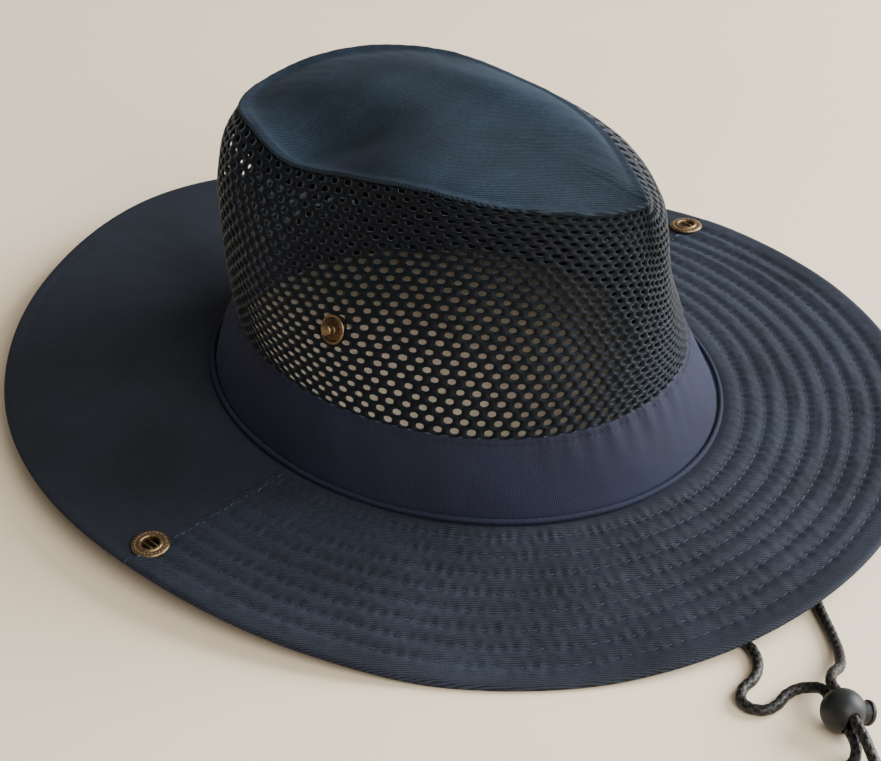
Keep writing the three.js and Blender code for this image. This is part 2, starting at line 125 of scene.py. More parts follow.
def gridFaces(rows, columns, closeRows=False, closeColumns=False):
    # quads of a grid of rows by columns of points, which face out when columns run round and rows up
    r = np.arange(rows if closeRows else rows - 1)[:, None]
    c = np.arange(columns if closeColumns else columns - 1)[None, :]
    r2, c2 = (r + 1) % rows, (c + 1) % columns
    corners = [r * columns + c, r * columns + c2, r2 * columns + c2, r2 * columns + c]
    return np.stack(corners, -1).reshape(-1, 4)


def tubeFaces(rows, columns, flip=False):
    # a grid that closes round its columns, with one face over each end; flip turns them all over
    faces = gridFaces(rows, columns, False, True).tolist()
    faces += [list(range(columns))[::-1], list(range((rows - 1) * columns, rows * columns))]
    return [face[::-1] for face in faces] if flip else faces


def gridUv(u, v):
    # the corners' pairs for the quads of a grid: u and v hold one more column or row where it closes
    pair = np.stack(np.broadcast_arrays(u, v), -1)
    return np.stack([pair[:-1, :-1], pair[:-1, 1:], pair[1:, 1:], pair[1:, :-1]], -2).reshape(-1, 2)


def loopPiece(name, points, finish, slotName, around, **more):
    # a closed ring: a closed section, given by the rows, carried round the columns; around is its
    # length in metres for the pattern
    rows, columns = points.shape[:2]
    u = np.arange(columns + 1)[None, :] / columns * around
    section = np.concatenate([points, points[:1]])
    steps = np.linalg.norm(np.diff(section, axis=0), axis=-1)
    v = np.concatenate([np.zeros((1, columns)), np.cumsum(steps, 0)]) * mm
    v = np.concatenate([v, v[:, :1]], 1)
    faces = gridFaces(rows, columns, True, True)
    return makePiece(name, points, faces.tolist(), gridUv(u, v), finish, slotName, **more)


def turnedPiece(name, profile, sides, place, finish, slotName, **more):
    # a profile of radius and height turned round an axis; place is a 4x4 matrix in millimetres
    profile = np.array(profile, float)
    turn = np.arange(sides) / sides * 2 * math.pi
    radius, height = profile[:, 0, None], profile[:, 1, None]
    points = stack(radius * np.cos(turn), radius * np.sin(turn), height)
    points = points @ place[:3, :3].T + place[:3, 3]
    faces = tubeFaces(len(profile), sides)
    length = np.concatenate([[0], np.cumsum(np.linalg.norm(np.diff(profile, axis=0), axis=1))])
    uv = gridUv(np.arange(sides + 1)[None, :] / sides, length[:, None] / length[-1])
    caps = np.concatenate([np.zeros((sides, 2)), np.ones((sides, 2))])
    return makePiece(name, points, faces, np.concatenate([uv, caps]), finish, slotName, **more)


def roundProfile(corners, radius=0.25, steps=3):
    # rounds the corners of a profile with short quadratic curves
    corners = np.array(corners, float)
    out = [corners[0]]
    for before, at, after in zip(corners[:-2], corners[1:-1], corners[2:]):
        back, on = before - at, after - at
        reach = min(radius, np.linalg.norm(back) / 2.2, np.linalg.norm(on) / 2.2)
        start, end = at + unit(back) * reach, at + unit(on) * reach
        for t in np.linspace(0, 1, steps):
            out.append((1 - t) ** 2 * start + 2 * t * (1 - t) * at + t * t * end)
    out.append(corners[-1])
    return out


def standing(place, direction, sideways):
    # a matrix that stands a shape made round Z along a direction
    up = unit(np.array(direction, float))
    across = unit(sideways - up * np.dot(sideways, up))
    matrix = np.eye(4)
    matrix[:3, 0], matrix[:3, 1], matrix[:3, 2], matrix[:3, 3] = across, np.cross(up, across), up, place
    return matrix


def stitchRow(middles, alongs, normals, stitch):
    # short threads, each a six-sided spindle laid along a direction and closed at both ends
    points = middles + normals * stitch["lift"]
    rings = np.array([[-0.5, 0.25], [-0.4, 0.75], [-0.12, 1.0], [0.12, 1.0], [0.4, 0.75], [0.5, 0.25]])
    turn = np.arange(6) / 6 * 2 * math.pi
    count = len(points)
    side = unit(np.cross(alongs, normals))
    along = alongs[:, None, None, :] * (rings[:, 0, None, None] * stitch["length"])
    thick = rings[:, 1, None, None] * stitch["thickness"] / 2
    wide = side[:, None, None, :] * (thick * np.cos(turn)[:, None])
    high = normals[:, None, None, :] * (thick * np.sin(turn)[:, None])
    verts = (points[:, None, None, :] + along + wide + high).reshape(count, -1, 3)
    one = gridFaces(len(rings), 6, False, True)[:, ::-1]
    first = (np.arange(count) * len(rings) * 6)[:, None, None]
    ends = np.array([range(6), range(len(rings) * 6 - 1, len(rings) * 6 - 7, -1)])
    return verts.reshape(-1, 3), (one[None] + first).reshape(-1, 4), (ends[None] + first).reshape(-1, 6)


def clothFrame(middle, ahead, beside):
    # the way along a row of stitches, and the cloth's normal there, turned up
    along = unit(ahead - middle)
    normal = unit(np.cross(beside - middle, along))
    return along, normal * np.sign(normal[:, 2:3])


def joinStitches(name, rows, finish, slotName):
    # all the threads of several rows as one mesh
    points, faces, start = [], [], 0
    for verts, quads, ends in rows:
        points.append(verts)
        faces += (quads + start).tolist() + (ends + start).tolist()
        start += len(verts)
    return makePiece(name, np.concatenate(points), faces, None, finish, slotName)


# Shader node helpers

def link(tree, a, b):
    tree.links.new(a, b)


def node(tree, kind, **values):
    # a node with its sockets, or else its settings, set by name
    made = tree.nodes.new(kind)
    for key, value in values.items():
        if key in made.inputs:
            made.inputs[key].default_value = value
        else:
            setattr(made, key, value)
    return made


def maths(tree, operation, a, b=None, c=None):
    # one Math node; each value is a number or another node's output
    made = tree.nodes.new("ShaderNodeMath")
    made.operation = operation
    for socket, value in zip(made.inputs, (a, b, c)):
        if value is None:
            continue
        if isinstance(value, (int, float)):
            socket.default_value = value
        else:
            tree.links.new(value, socket)
    return made.outputs[0]


def mixColour(tree, share, a, b):
    # two fixed colours mixed by a share; the node's colour sockets are 6, 7 and 2
    made = tree.nodes.new("ShaderNodeMix")
    made.data_type = "RGBA"
    tree.links.new(share, made.inputs[0])
    made.inputs[6].default_value = a
    made.inputs[7].default_value = b
    return made.outputs[2]


def clamped(tree, value):
    return maths(tree, "MINIMUM", maths(tree, "MAXIMUM", value, 0.0), 1.0)


def colour(red, green, blue):
    # a colour given as the eye sees it, 0 to 255, turned into linear light
    c = np.array([red, green, blue]) / 255.0
    c = np.where(c <= 0.04045, c / 12.92, ((c + 0.055) / 1.055) ** 2.4)
    return (*c.tolist(), 1.0)


def makeTwillGroup():
    # woven twill: slanting ribs crossed by finer threads, worn unevenly by a broad noise.
    # The vector is in metres, the pitch of a rib is given in metres.
    group = bpy.data.node_groups.new("twill", "ShaderNodeTree")
    for name, way, kind in (
        ("Vector", "INPUT", "Vector"), ("Turn", "INPUT", "Float"), ("Pitch", "INPUT", "Float"),
        ("Height", "OUTPUT", "Float"), ("Rib", "OUTPUT", "Float"), ("Wear", "OUTPUT", "Float"),
    ):
        group.interface.new_socket(name, in_out=way, socket_type="NodeSocket" + kind)
    enter = group.nodes.new("NodeGroupInput")
    leave = group.nodes.new("NodeGroupOutput")
    turned = node(group, "ShaderNodeVectorRotate", rotation_type="Z_AXIS")
    link(group, enter.outputs["Vector"], turned.inputs["Vector"])
    link(group, enter.outputs["Turn"], turned.inputs["Angle"])
    shake = node(group, "ShaderNodeTexNoise", Scale=160.0, Detail=2.0)
    link(group, enter.outputs["Vector"], shake.inputs["Vector"])
    split = node(group, "ShaderNodeSeparateXYZ")
    link(group, turned.outputs[0], split.inputs[0])
    wander = maths(group, "MULTIPLY", maths(group, "SUBTRACT", shake.outputs[0], 0.5), 0.0011)
    across = maths(group, "DIVIDE", maths(group, "ADD", split.outputs[1], wander), enter.outputs["Pitch"])
    along = maths(group, "DIVIDE", split.outputs[0], enter.outputs["Pitch"])
    rib = maths(group, "SINE", maths(group, "MULTIPLY", across, 2 * math.pi))
    rib = maths(group, "MULTIPLY_ADD", rib, 0.5, 0.5)
    slant = maths(group, "ADD", maths(group, "MULTIPLY", along, 1.7), maths(group, "MULTIPLY", across, 0.5))
    thread = maths(group, "SINE", maths(group, "MULTIPLY", slant, 2 * math.pi))
    thread = maths(group, "MULTIPLY_ADD", thread, 0.5, 0.5)
    height = maths(group, "ADD", maths(group, "MULTIPLY", rib, 0.7), maths(group, "MULTIPLY", thread, 0.3))
    broad = node(group, "ShaderNodeTexNoise", Scale=22.0, Detail=5.0, Roughness=0.62)
    link(group, enter.outputs["Vector"], broad.inputs["Vector"])
    fleck = node(group, "ShaderNodeTexNoise", Scale=900.0, Detail=2.0)
    link(group, enter.outputs["Vector"], fleck.inputs["Vector"])
    wear = maths(group, "ADD", maths(group, "MULTIPLY", broad.outputs[0], 0.65),
                 maths(group, "MULTIPLY", fleck.outputs[0], 0.35))
    link(group, height, leave.inputs["Height"])
    link(group, rib, leave.inputs["Rib"])
    link(group, wear, leave.inputs["Wear"])
    return group


twillGroup = makeTwillGroup()


def startMaterial(name):
    material = bpy.data.materials.new(name)
    material.use_nodes = True
    tree = material.node_tree
    return material, tree, node(tree, "ShaderNodeTexCoord")


def finishMaterial(tree, base, height, strength, relief, rough, fixed):
    # colour, fine relief in millimetres and roughness vary; the fixed values are the shader's own
    shader = tree.nodes["Principled BSDF"]
    link(tree, base, shader.inputs["Base Color"])
    bump = node(tree, "ShaderNodeBump", Strength=strength, Distance=relief * mm)
    link(tree, height, bump.inputs["Height"])
    link(tree, bump.outputs[0], shader.inputs["Normal"])
    link(tree, rough, shader.inputs["Roughness"])
    for socket, value in fixed.items():
        shader.inputs[socket].default_value = value


def clothMaterial(name, dark, light, turn, pitch=0.9, useUv=False, relief=0.12, roughness=0.78, sheen=0.1):
    # twill, with shade painted darker between its ribs, and lighter where it is worn; the pitch is in
    # millimetres
    material, tree, place = startMaterial(name)
    weave = tree.nodes.new("ShaderNodeGroup")
    weave.node_tree = twillGroup
    weave.inputs["Turn"].default_value = math.radians(turn)
    weave.inputs["Pitch"].default_value = pitch * mm
    link(tree, place.outputs["UV" if useUv else "Object"], weave.inputs["Vector"])
    tone = maths(tree, "MULTIPLY_ADD", weave.outputs["Wear"], 1.9, -0.55)
    # painted shade: the colour is darker in the grooves between the ribs
    paintedRibShade = maths(tree, "MULTIPLY", maths(tree, "SUBTRACT", weave.outputs["Rib"], 0.5), 0.8)
    tone = clamped(tree, maths(tree, "ADD", tone, paintedRibShade))
    rough = maths(tree, "MULTIPLY_ADD", weave.outputs["Wear"], 0.12, roughness - 0.06)
    finishMaterial(tree, mixColour(tree, tone, dark, light), weave.outputs["Height"], 0.55, relief, rough, {
        "Sheen Weight": sheen, "Sheen Roughness": 0.35, "Sheen Tint": (0.45, 0.62, 1.0, 1.0),
        "Specular IOR Level": 0.2,
    })
    return material


def simpleMaterial(name, dark, light, scale, roughness, metal=0.0, relief=0.05, sheen=0.0, contrast=2.4,
                   specular=0.5, mask=None):
    # two tones mixed by a noise on Object coordinates, with the same noise as fine relief.
    # A mask is a value kept on the mesh's points that lets the lighter tone through.
    material, tree, place = startMaterial(name)
    grain = node(tree, "ShaderNodeTexNoise", Scale=scale, Detail=4.0, Roughness=0.6)
    link(tree, place.outputs["Object"], grain.inputs["Vector"])
    tone = clamped(tree, maths(tree, "MULTIPLY_ADD", grain.outputs[0], contrast, 0.5 - contrast / 2))
    if mask:
        highlightMask = node(tree, "ShaderNodeAttribute", attribute_name=mask)
        tone = maths(tree, "MULTIPLY", tone, highlightMask.outputs["Fac"])
    rough = maths(tree, "MULTIPLY_ADD", grain.outputs[0], 0.3, roughness - 0.15)
    finishMaterial(tree, mixColour(tree, tone, dark, light), grain.outputs[0], 0.5, relief, rough, {
        "Metallic": metal, "Specular IOR Level": specular, "Sheen Weight": sheen, "Sheen Roughness": 0.3,
        "Sheen Tint": (0.6, 0.75, 1.0, 1.0),
    })
    return material


topCloth = clothMaterial("topTwill", colour(11, 17, 23), colour(49, 66, 83), 45, sheen=0.02)
bandCloth = clothMaterial("bandTwill", colour(27, 26, 36), colour(37, 43, 68), 90, pitch=0.75, useUv=True,
                          sheen=0.13)
backCloth = clothMaterial("backTwill", colour(22, 25, 31), colour(41, 46, 56), 45, pitch=0.8, sheen=0.06)
frontCloth = clothMaterial("frontTwill", colour(15, 18, 24), colour(48, 53, 66), 45, pitch=0.8, sheen=0.08)
netYarn = simpleMaterial("netYarn", colour(3, 4, 6), colour(21, 26, 33), 900, 0.55, relief=0.4, sheen=0.3,
                         specular=0.12)
tapeCloth = simpleMaterial("tapeCloth", colour(5, 6, 8), colour(16, 19, 24), 600, 0.8, relief=0.2,
                           specular=0.1)
thread = simpleMaterial("thread", colour(22, 27, 37), colour(58, 72, 98), 300, 0.45, relief=0.02)
bandThread = simpleMaterial("bandThread", colour(17, 19, 28), colour(31, 35, 51), 300, 0.6, relief=0.02,
                            specular=0.2)
# dark yarn, with a painted highlight on the crowns of the braid's strands
cordYarn = simpleMaterial("cordYarn", colour(3, 3, 4), colour(96, 91, 83), 1500, 0.42, relief=0.16,
                          contrast=3.0, specular=0.3, mask="strandTopHighlight")
lockPlastic = simpleMaterial("lockPlastic", colour(22, 24, 23), colour(34, 37, 36), 120, 0.46, relief=0.02,
                             specular=0.3)
brass = simpleMaterial("antiqueBrass", colour(78, 58, 39), colour(168, 144, 110), 1100, 0.45, metal=1.0,
                       contrast=1.8)
agedBrass = simpleMaterial("agedBrass", colour(34, 23, 14), colour(96, 72, 44), 900, 0.5, metal=0.8)
# painted shade: a dark floor standing in for the shade inside the snaps' sockets
paintedSocketShade = simpleMaterial("paintedSocketShade", colour(10, 8, 7), colour(34, 26, 18), 420, 0.6, metal=0.4,
                            specular=0.2)

# The camera looks from the photograph's side; its place is in metres
view = {
    "place": (-0.505686, -0.451942, 0.473413),
    "right": (0.67245652, -0.74013396, -0.00198658),
    "up": (0.42170223, 0.38093346, 0.82283469),
    "back": (-0.60825115, -0.5541583, 0.56827733),
    "focalPixels": 2116.3,
    "imageWidth": 881,
    "sensor": 36.0,
}


def makeCamera():
    data = bpy.data.cameras.new("camera")
    data.sensor_width = view["sensor"]
    data.lens = view["focalPixels"] * view["sensor"] / view["imageWidth"]
    camera = bpy.data.objects.new("camera", data)
    matrix = Matrix.Identity(4)
    for column, way in enumerate(("right", "up", "back", "place")):
        for row in range(3):
            matrix[row][column] = view[way][row]
    camera.matrix_world = matrix
    bpy.context.collection.objects.link(camera)
    bpy.context.scene.camera = camera


makeCamera()
print("camera set")

# The chin cord and its lock
cord = {
    "diameter": 3.8,
    "clear": 0.05,
    "step": 0.36,
    "sides": 40,
    "lobes": 5,
    "weave": 1.9,
    "relief": 0.3,
}
lock = {
    "place": (-57.6, -215.35, 7.4),
    "radius": 7.3,
    "turn": -32.6,
    "tilt": 19.0,
    "channelHalfWidth": 2.25,
    "channelHalfHeight": 4.3,
    "channelReach": 12.0,
    "channelSides": 40,
    "strandRise": 2.1,
    "bore": 3.9,
    "boreFloor": 3.1,
}

# The cord's route from the near side of the hat: x, y and how far it is lifted off the table
nearRoute = [
    (-89, -9, 7.5), (-88.95, -9.4, 5), (-88.2, -12, 2.2), (-86.8, -17, 0.5), (-84.5, -26, 0),
    (-78, -52, 0), (-70, -80, 0), (-62, -110, 0), (-54.5, -140, 0), (-48.5, -162, 0),
    (-47, -171.5, 0), (-49.8, -177, 0), (-54.5, -181, 0), (-60, -182.8, 0), (-65.5, -182.9, 0),
    (-70.2, -185.6, 0), (-71.2, -190, 0), (-68.7, -194, 0), (-64, -195.4, 0),
    (-58.5, -194.9, 0), (-53.5, -196.4, 0.3), (-50.9, -200, 1.3), (-51, -203, 2.7),
]
farRoute = [
    (88.4, -9, 7.5), (88.3, -9.4, 5), (87.2, -12.4, 2.2), (85, -17.5, 0.5), (81, -27, 0),
    (70, -52, 0), (56, -80, 0), (40, -108, 0), (22, -136, 0), (4, -158, 0), (-9, -171.5, 0),
    (-16.5, -180, 0), (-24, -189.5, 0), (-30.5, -196.5, 0.6), (-38, -201.6, 2.8),
    (-46.2, -203.6, 6.2),
]
tailRoute = [
    (-64.8, -225.2, 2.3), (-68.8, -227.6, 0.8), (-73.5, -227.6, 0.1), (-78, -225.6, 0),
    (-84, -223.4, 0), (-91, -224.8, 0), (-97, -230, 0), (-99.5, -237.5, 0), (-96.5, -245, 0),
    (-89.5, -249.5, 0), (-81.5, -249, 0), (-74.5, -244.6, 0), (-69.5, -238.4, 0.5),
    (-66.6, -232.6, 3), (-64.3, -228, 6),
]


def lockWays():
    # the lock's directions: along its button, along its channel, and up across the two strands
    turn, tilt = math.radians(lock["turn"]), math.radians(lock["tilt"])
    button = np.array([math.cos(tilt) * math.cos(turn), math.cos(tilt) * math.sin(turn), -math.sin(tilt)])
    channel = np.array([math.sin(turn), -math.cos(turn), 0.0])
    return button, channel, np.cross(channel, button)


def cordPath():
    # the near strand, into the lock and out of it, round the loop, back through the lock, the far strand
    lying = cord["diameter"] / 2 + cord["clear"]
    lift = np.array([0, 0, lying])
    _, channel, rise = lockWays()
    middle = np.array(lock["place"])
    stops = np.array([11.3, 7.5, 3.5, 0.0])
    low = -rise * lock["strandRise"]
    into = middle + low - stops[:, None] * channel
    out = middle + low + stops[::-1][1:-1, None] * channel
    back = middle - low + stops[1:, None] * channel
    away = middle - low - stops[::-1][1:, None] * channel
    near, far, tail = (np.array(route) + lift for route in (nearRoute, farRoute, tailRoute))
    return np.concatenate([near, into, out, tail, back, away, far[::-1]])


def smoothPath(points, step):
    # a curve through the points: cubic pieces whose slopes come from the neighbours' spacing
    gaps = np.sqrt(np.linalg.norm(np.diff(points, axis=0), axis=1))
    knots = np.concatenate([[0], np.cumsum(gaps)])
    slopes = np.empty_like(points)
    rate = np.diff(points, axis=0) / gaps[:, None]
    weight = (gaps[:-1] / (gaps[:-1] + gaps[1:]))[:, None]
    slopes[1:-1] = rate[:-1] * (1 - weight) + rate[1:] * weight
    slopes[0], slopes[-1] = rate[0], rate[-1]
    fine = np.linspace(0, knots[-1], 6000)
    k = np.clip(np.searchsorted(knots, fine, side="right") - 1, 0, len(gaps) - 1)
    h = gaps[k][:, None]
    t = (fine - knots[k])[:, None] / h
    curve = ((2 * t**3 - 3 * t**2 + 1) * points[k] + (t**3 - 2 * t**2 + t) * h * slopes[k]
             + (3 * t**2 - 2 * t**3) * points[k + 1] + (t**3 - t**2) * h * slopes[k + 1])
    length = np.concatenate([[0], np.cumsum(np.linalg.norm(np.diff(curve, axis=0), axis=1))])
    even = np.linspace(0, length[-1], int(length[-1] / step))
    return np.stack([np.interp(even, length, curve[:, axis]) for axis in range(3)], 1), length[-1]


def makeCord():
    # a braided tube: two sets of lobes wind opposite ways, each over and then under the other
    path, length = smoothPath(cordPath(), cord["step"])
    along = unit(np.gradient(path, axis=0))
    up = unit(np.array([0, 0, 1.0]) - along * along[:, 2:3])
    side = np.cross(along, up)
    run = np.linspace(0, length, len(path))[:, None]
    turn = np.arange(cord["sides"])[None, :] / cord["sides"] * 2 * math.pi
    one = cord["lobes"] * turn + cord["weave"] * run
    other = cord["lobes"] * turn - cord["weave"] * run
    lobeOne = np.abs(np.cos(one)) ** 0.6 * (0.72 + 0.28 * np.sin(other))
    lobeOther = np.abs(np.cos(other)) ** 0.6 * (0.72 - 0.28 * np.sin(one))
    over = np.maximum(lobeOne, lobeOther)
    radius = cord["diameter"] / 2 - cord["relief"] * (1 - over)
    round3 = side[:, None, :] * np.cos(turn)[..., None] + up[:, None, :] * np.sin(turn)[..., None]
    points = path[:, None, :] + radius[..., None] * round3
    faces = tubeFaces(len(path), cord["sides"], flip=True)
    tube = makePiece("chinCord", points, faces, None, cordYarn, "cord",
                     nodes=("cord_near", "cord_far", "cord_tail"))
    # painted highlight: the lighter tone shows only on the crowns of the strands, where light catches
    highlightMask = (np.clip((over - 0.62) / 0.34, 0, 1) ** 2).astype(np.float32)
    tube.data.attributes.new("strandTopHighlight", "FLOAT", "POINT").data.foreach_set("value", highlightMask.ravel())
    return tube, path * mm, length * mm


cordPiece, cordPoints, cordLength = makeCord()


def makeLock():
    # a ball round the button's axis, cut by the channel for the two strands and the button's bore
    button, channel, rise = lockWays()
    middle = np.array(lock["place"])
    arcs = np.linspace(-math.pi / 2, math.acos(lock["bore"] / lock["radius"]), 40)
    profile = [(max(0.05, lock["radius"] * math.cos(a)), lock["radius"] * math.sin(a)) for a in arcs]
    profile += [(lock["bore"] - 0.25, profile[-1][1] - 0.25), (lock["bore"] - 0.25, lock["boreFloor"])]
    place = standing(middle, button, rise)
    ball = turnedPiece("lockBall", profile, 72, place, lockPlastic, "lock_plastic", nodes=("cord_lock",))
    # the channel is a stadium carried along the strands' way
    sides = lock["channelSides"]
    turn = np.linspace(0, 2 * math.pi, sides, endpoint=False)
    straight = lock["channelHalfHeight"] - lock["channelHalfWidth"]
    wide = lock["channelHalfWidth"] * np.cos(turn)
    high = lock["channelHalfWidth"] * np.sin(turn) + straight * np.sign(np.sin(turn) + 1e-9)
    ring = wide[:, None] * button + high[:, None] * rise
    ends = np.array([-1.0, 1.0])[:, None, None] * lock["channelReach"] * channel
    points = middle + ring[None] + ends
    cutter = makePiece("lockChannel", points, tubeFaces(2, sides), None, lockPlastic, "lock_plastic")
    return ball, cutter


def cutBy(piece, cutter):
    # cuts the second piece out of the first and deletes it
    shape = bmesh.new()
    shape.from_mesh(cutter.data)
    bmesh.ops.recalc_face_normals(shape, faces=shape.faces)
    shape.to_mesh(cutter.data)
    shape.free()
    cutting = piece.modifiers.new("cut", "BOOLEAN")
    cutting.object = cutter
    cutting.operation = "DIFFERENCE"
    cutting.solver = "EXACT"
    depsgraph = bpy.context.evaluated_depsgraph_get()
    mesh = bpy.data.meshes.new_from_object(piece.evaluated_get(depsgraph))
    piece.modifiers.clear()
    piece.data = mesh
    bpy.data.objects.remove(cutter)
    mesh.set_sharp_from_angle(angle=math.radians(35))


lockBall, lockChannel = makeLock()
cutBy(lockBall, lockChannel)


def makeButton():
    # a stem in the bore and a cap with a dished end, turned round the button's way
    button, _, rise = lockWays()
    profile = [(0.05, 5.8), (3.6, 5.8), (3.6, 8.7), (4.2, 8.8), (4.2, 9.7), (3.8, 10.3), (2.8, 10.5),
               (2.4, 10.2), (0.05, 10.15)]
    place = standing(np.array(lock["place"]), button, rise)
    piece = turnedPiece("lockButton", roundProfile(profile, 0.2), 56, place, lockPlastic, "lock_plastic",
                        body="lock_button", nodes=("cord_lock_button",))
    piece.data.set_sharp_from_angle(angle=math.radians(40))
    return piece


lockButton = makeButton()
print("cord", round(float(cordLength), 3))

# The brim
brim = {
    "thickness": 2.0,
    "innerReach": 2.1,
    "innerFlat": 3.0,
    "sag": 1.0,
    "nearSeam": 176.9,
    "farSeam": 2.5,
    "hem": 10.0,
    "rowGap": 8.0,
    "rows": 8,
    "rowShrink": 0.0035,
    "rowPhase": 1.7,
    "puff": 0.8,
    "drawn": 0.21,
    "crease": 0.26,
    "stitchPitch": 4.5,
    "runRadius": 158.0,
    "seamGap": 0.08,
}
quiltStitch = {"length": 2.4, "thickness": 0.34, "lift": 0.1, "wander": 0.08}
seamStitch = {"length": 2.3, "thickness": 0.36, "lift": 0.14, "pitch": 3.2, "offSeam": 2.2, "end": 4.0}


def brimUnderside(angle, outward):
    # level at the band, then a straight fall with a slight sag, eased where it meets the table
    width = tableAt("brimWidth", angle)
    start = hat["foot"]["height"] - brim["thickness"]
    share = np.clip((outward - brim["innerFlat"]) / (width - brim["innerFlat"]), 0, None)
    height = start + (tableAt("edgeHeight", angle) - start) * share
    height = height - brim["sag"] * np.sin(math.pi * np.minimum(1, share))
    return 0.5 * (height + np.sqrt(height**2 + 0.7))


def edgeRun(angle):
    # a length in millimetres that grows round the brim's edge, for patterns that run along it
    return np.radians(angle) * brim["runRadius"]


def rowShare(row):
    # how much shorter an inner row of stitches is than the edge
    return 1 - brim["rowShrink"] * row * brim["rowGap"]


def quiltRelief(angle, outward):
    # padding between the stitched rows, with the cloth drawn in at each stitch
    width = tableAt("brimWidth", angle)
    place = (width - outward - brim["hem"]) / brim["rowGap"]
    row = np.clip(np.round(place), 0, brim["rows"] - 1)
    away = np.abs(place - row) * brim["rowGap"]
    run = edgeRun(angle) * rowShare(row)
    pull = 0.75 + 0.8 * soft(run, row * 31.0, 12, 16.0)
    pucker = pull * np.cos(2 * math.pi * run / brim["stitchPitch"] + row * brim["rowPhase"])
    puff = brim["puff"] * (1 - np.exp(-((away / 1.9) ** 2)))
    drawn = brim["drawn"] * pucker * np.exp(-((away / 2.0) ** 2))
    channel = np.floor(place)
    crease = brim["crease"] * soft(run, channel * 23.0, 11, 9.0) * np.exp(-((away - 3.0) / 2.2) ** 2)
    broad = 0.5 * soft(run, outward, 5, 70.0) * np.clip(outward / 30, 0, 1)
    return puff + drawn + crease + broad


def plainRelief(angle, outward):
    # soft waves of a plain cloth, drawn flat along the hem's stitches
    width = tableAt("brimWidth", angle)
    run = edgeRun(angle)
    hem = np.exp(-(((width - outward - 5.0) / 1.2) ** 2))
    wave = 0.6 * soft(run, outward, 3, 80.0) * np.clip(outward / 30, 0, 1)
    fine = 0.12 * soft(run, outward, 9, 17.0)
    return 0.35 + wave + fine - 0.18 * hem * (1 + 0.6 * np.cos(2 * math.pi * run / 3.6))


def onBrimTop(angle, outward, relief):
    # the brim's top with its relief, which fades at the hem, at the band and at the two seams
    x, y = onOval(hat["foot"], angle, outward)
    width = tableAt("brimWidth", angle)
    seamFade = 1.0
    for seam in (brim["farSeam"], brim["nearSeam"]):
        off = np.abs((angle - seam + 180) % 360 - 180)
        seamFade = seamFade * (1 - 0.9 * np.exp(-((off / 0.5) ** 2)))
    fade = np.clip((width - outward) / 2.2, 0, 1) ** 0.5 * np.clip((outward - 1.5) / 3, 0, 1) * seamFade
    top = brimUnderside(angle, outward) + brim["thickness"] - 0.35
    return stack(x, y, top + relief(angle, outward) * fade)


def makeBrimHalf(name, begin, end, columns, rows, relief, finish, cadNode):
    # one closed section carried round: over the top, round the hem and back along the underside
    angle = np.linspace(begin + brim["seamGap"], end - brim["seamGap"], columns)[None, :]
    width = tableAt("brimWidth", angle)
    reach = brim["thickness"] / 2
    inner = -brim["innerReach"]
    share = np.linspace(0, 1, rows)[:, None]
    outward = inner + (width - reach - inner) * share
    top = onBrimTop(angle, outward, relief)
    turn = np.linspace(0, math.pi, 7)[1:-1, None]
    x, y = onOval(hat["foot"], angle, width - reach + reach * np.sin(turn))
    base = brimUnderside(angle, width - reach)
    hemHeight = base + reach + (reach - 0.17) * np.cos(turn)
    hem = stack(x, y, hemHeight)
    under = inner + (width - reach - inner) * np.linspace(1, 0, 16)[:, None]
    x, y = onOval(hat["foot"], angle, under)
    bottom = stack(x, y, brimUnderside(angle, under))
    points = np.concatenate([top, hem, bottom])
    total = len(points)
    faces = gridFaces(total, columns, True, False)[:, ::-1].tolist()
    ends = np.arange(total) * columns
    faces.append(ends.tolist())
    faces.append((ends + columns - 1)[::-1].tolist())
    u = edgeRun(angle) * mm + np.zeros((total + 1, 1))
    steps = np.linalg.norm(np.diff(np.concatenate([points, points[:1]]), axis=0), axis=-1)
    v = np.concatenate([np.zeros((1, columns)), np.cumsum(steps, 0)]) * mm
    uv = gridUv(u, v).reshape(-1, 4, 2)[:, ::-1].reshape(-1, 2)
    uv = np.concatenate([uv, np.zeros((2 * total, 2))])
    return makePiece(name, points, faces, uv, finish, "brim_twill", nodes=(cadNode,))


makeBrimHalf("brimFront", brim["nearSeam"], brim["farSeam"] + 360, 620, 88, quiltRelief, frontCloth,
             "brim_front")
makeBrimHalf("brimBack", brim["farSeam"], brim["nearSeam"], 300, 60, plainRelief, backCloth, "brim_back")


def brimStitches():
    # a thread between each pair of holes, just above the drawn-in cloth of its row
    made = []
    for row in range(brim["rows"]):
        radius = brim["runRadius"] * rowShare(row)
        pitch = np.degrees(brim["stitchPitch"] / radius)
        angle = np.arange(brim["nearSeam"] + 1.2, brim["farSeam"] + 359, pitch)
        turns = (math.pi - row * brim["rowPhase"]) / (2 * math.pi)
        phase = np.degrees(turns * brim["stitchPitch"] / radius)
        angle = np.round((angle - phase) / pitch) * pitch + phase
        outward = tableAt("brimWidth", angle) - brim["hem"] - row * brim["rowGap"]
        outward = outward + chance.normal(0, quiltStitch["wander"], len(angle))
        middle = onBrimTop(angle, outward, quiltRelief)
        ahead = onBrimTop(angle + 0.3, outward, quiltRelief)
        beside = onBrimTop(angle, outward + 1.0, quiltRelief)
        along, normal = clothFrame(middle, ahead, beside)
        made.append(stitchRow(middle, along, normal, quiltStitch))
    return made


joinStitches("quiltStitches", brimStitches(), thread, "brim_twill")


